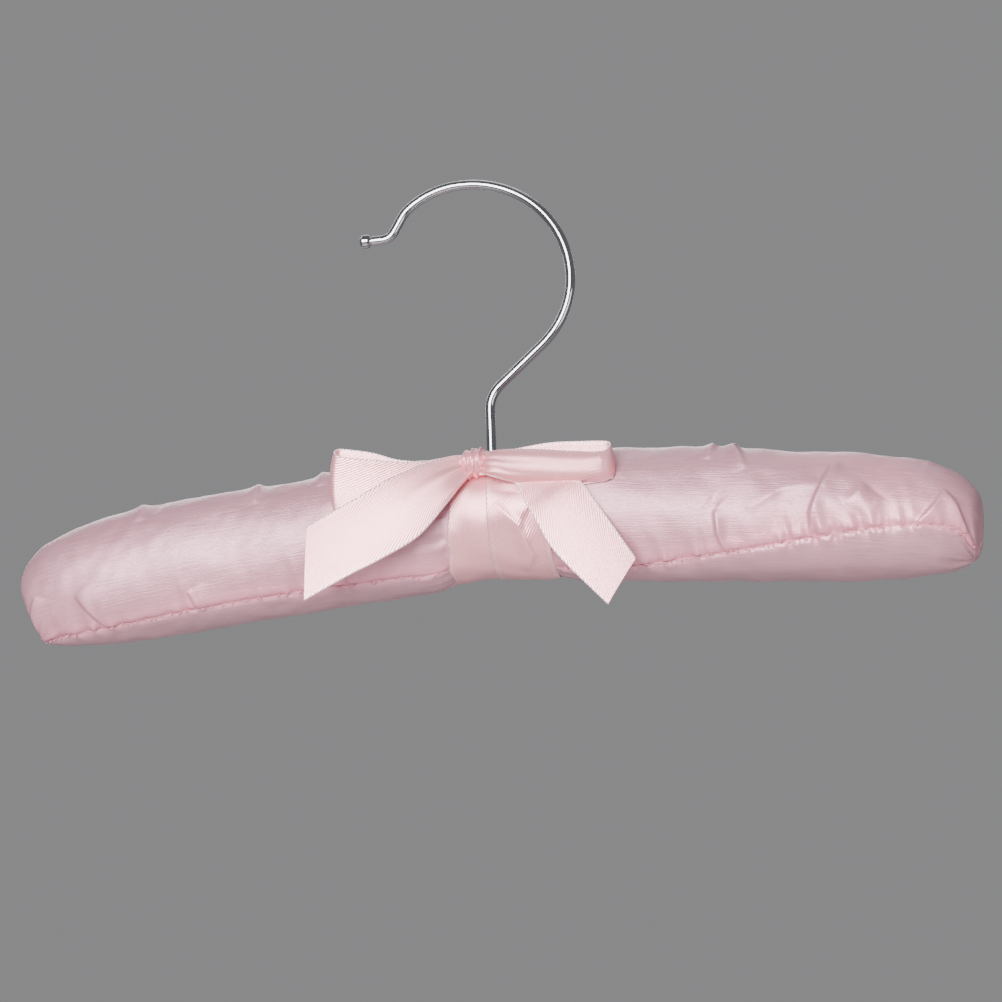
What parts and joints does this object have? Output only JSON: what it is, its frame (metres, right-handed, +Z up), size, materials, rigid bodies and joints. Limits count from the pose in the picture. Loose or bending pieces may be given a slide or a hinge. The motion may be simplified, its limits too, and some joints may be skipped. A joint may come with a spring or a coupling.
{
  "type": "clothes hanger",
  "caption": "Padded satin clothes hanger with a chromed swivel hook, two sloping padded arms, a ribbon-wound waist and a tied ribbon bow.",
  "frame": {"origin": "where the hook bears on a rail: the inside of the wire's crown, straight above the swivel axis", "axes": "+Z up along the swivel axis, +X along the right-hand arm seen from the front, -Y is the front with the bow"},
  "size_m": [0.3278, 0.0491, 0.1527],
  "materials": {
    "chromed_wire": "bright polished chrome plate",
    "zinc_steel": "bright zinc plate",
    "brass": "turned brass",
    "beech_wood": "plain unvarnished beech",
    "white_wadding": "white polyester wadding",
    "pink_satin": "pale pink slubbed satin with a soft sheen",
    "pink_thread": "pale pink sewing thread",
    "pink_ribbon": "pale pink satin ribbon with woven edges"
  },
  "bodies": {
    "hook": {"hook": "chromed_wire", "hook_nut": "zinc_steel", "hook_washer": "zinc_steel"},
    "padded_body": {"hook_ferrule": "brass", "wooden_core": "beech_wood", "foam_pad_left": "white_wadding", "foam_pad_right": "white_wadding", "satin_sleeve_left": "pink_satin", "satin_sleeve_right": "pink_satin", "binding_thread_left": "pink_thread", "binding_thread_right": "pink_thread", "seam_thread_left": "pink_thread", "seam_thread_right": "pink_thread", "ribbon_wrap": "pink_ribbon", "bow_knot": "pink_ribbon", "bow_loop_left": "pink_ribbon", "bow_loop_right": "pink_ribbon", "bow_tail_left": "pink_ribbon", "bow_tail_right": "pink_ribbon"}
  },
  "joints": [
    {"name": "hook_swivel", "type": "hinge", "parent": "hook", "child": "padded_body", "pos_m": [0, 0, -0.1], "axis": [0, 0, 1], "continuous": true}
  ]
}
